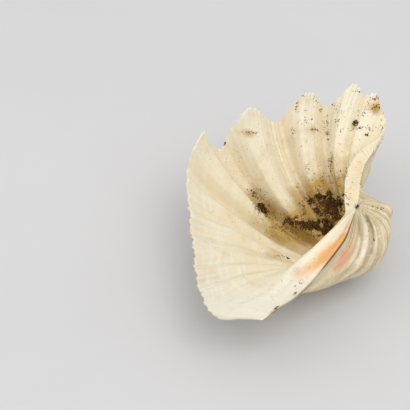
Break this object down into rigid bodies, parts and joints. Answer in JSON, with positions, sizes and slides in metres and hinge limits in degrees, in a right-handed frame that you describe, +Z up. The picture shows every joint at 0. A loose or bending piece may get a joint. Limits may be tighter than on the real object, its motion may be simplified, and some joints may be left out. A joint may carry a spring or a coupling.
{
  "type": "giant clam shell",
  "caption": "Single valve of a giant clam, deeply ribbed with a scalloped margin, a long hinge plate and a rolled beak, lying on its back with soil left in the bowl.",
  "frame": {"origin": "middle of the bounding box at floor level, with the valve at rest on its back", "axes": "+X along the hinge towards the front end of the valve, +Y from the hinge towards the scalloped margin, +Z up out of the bowl"},
  "size_m": [0.2006, 0.1346, 0.0792],
  "materials": {
    "shell": "satin porcelain-like shell, cream with tan and orange stains",
    "soil": "matte crumbly dark earth"
  },
  "bodies": {
    "root": {"valve": "shell", "soil_beak_clot": "soil", "soil_channel_band": "soil", "soil_rib_clot": "soil"}
  },
  "joints": []
}
